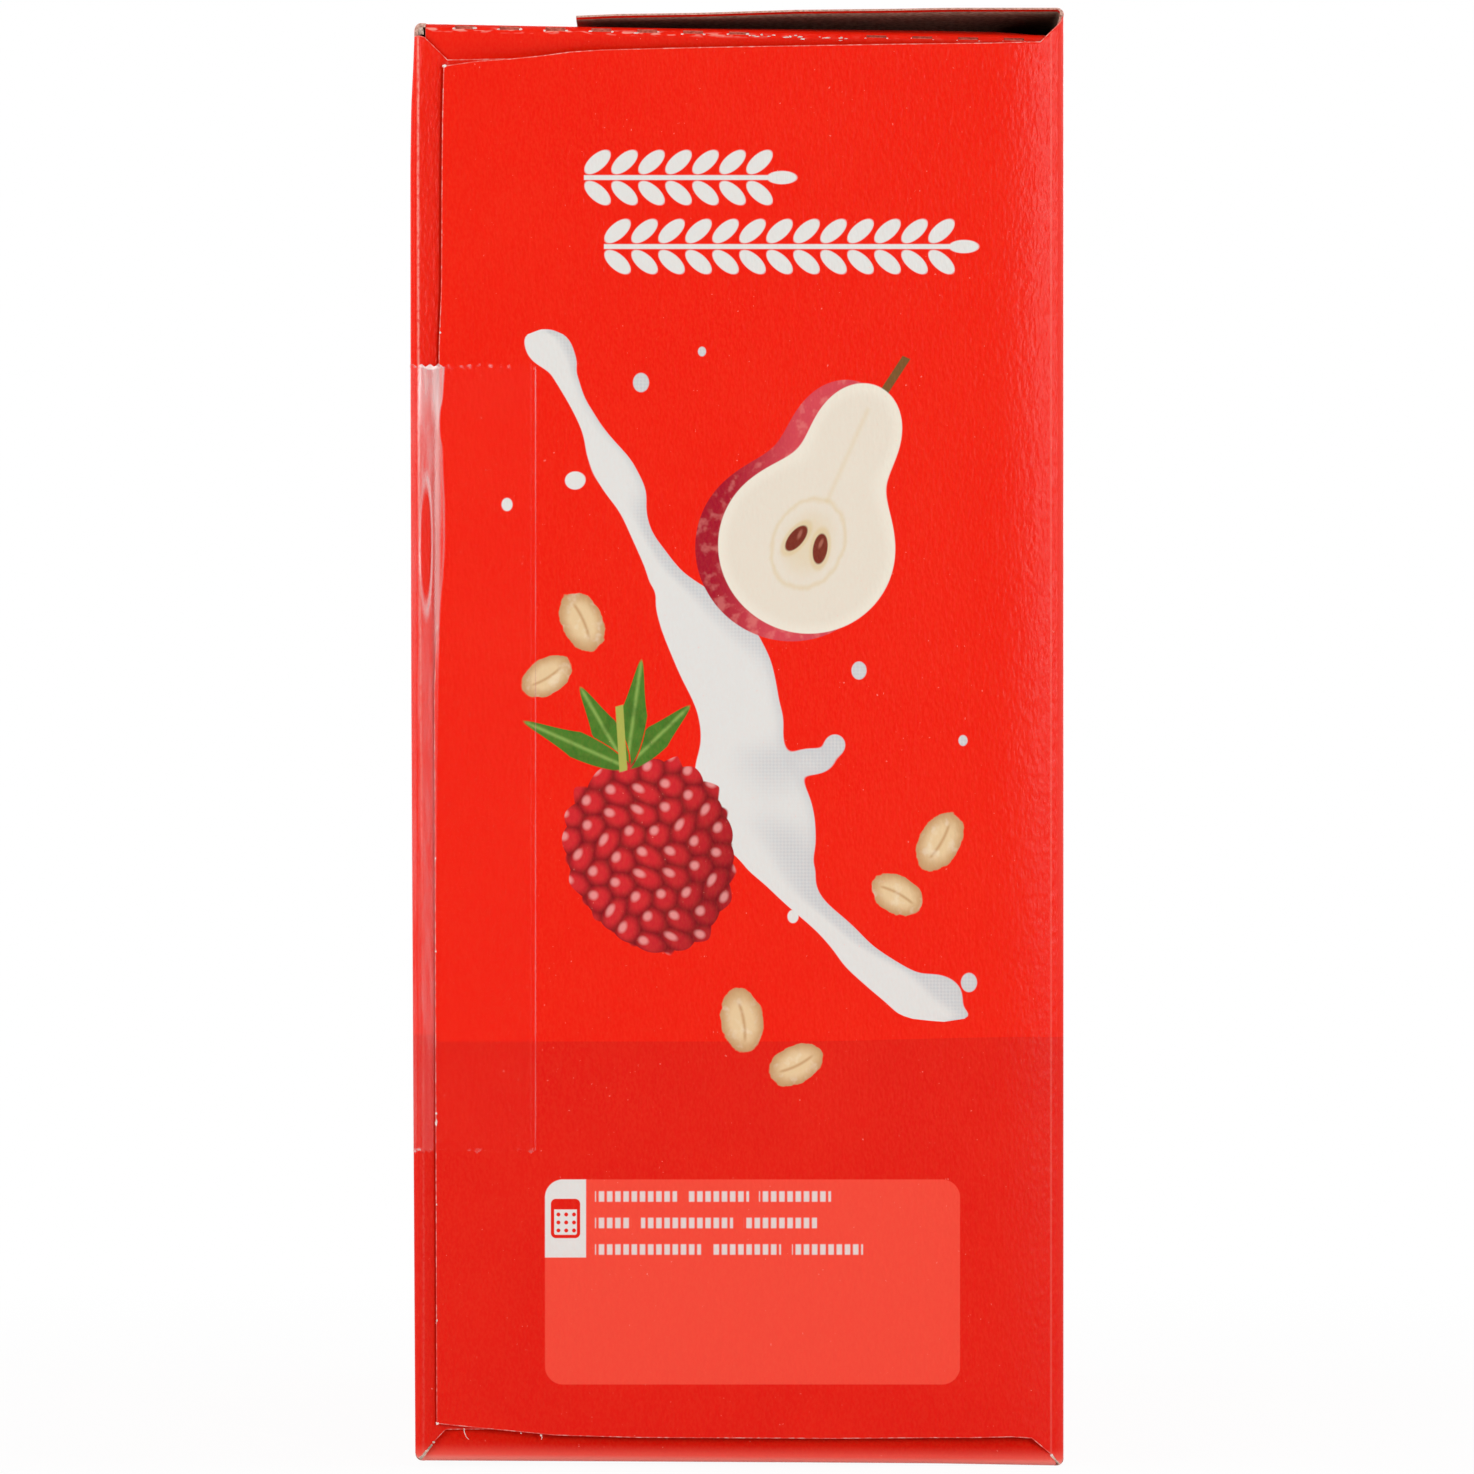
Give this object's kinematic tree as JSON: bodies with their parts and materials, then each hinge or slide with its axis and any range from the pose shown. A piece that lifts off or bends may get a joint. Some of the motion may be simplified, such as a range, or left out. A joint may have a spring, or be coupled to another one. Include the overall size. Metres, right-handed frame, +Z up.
{
  "type": "cereal bar carton",
  "caption": "Upright side-loading folding carton for cereal bars, glued shut, with lapped end flaps, a perforated top fold, an overlap top panel and clear tape over one end flap.",
  "frame": {"origin": "middle of the base", "axes": "+Z up; +X from the back panel to the front panel, along the narrow end; -Y out of the taped end"},
  "size_m": [0.0655, 0.1351, 0.1459],
  "materials": {
    "carton_board": "gloss-varnished red printed boxboard, grey-brown at cut edges",
    "clear_film": "clear glossy film"
  },
  "bodies": {
    "root": {"carton": "carton_board", "clear_tape": "clear_film"}
  },
  "joints": []
}
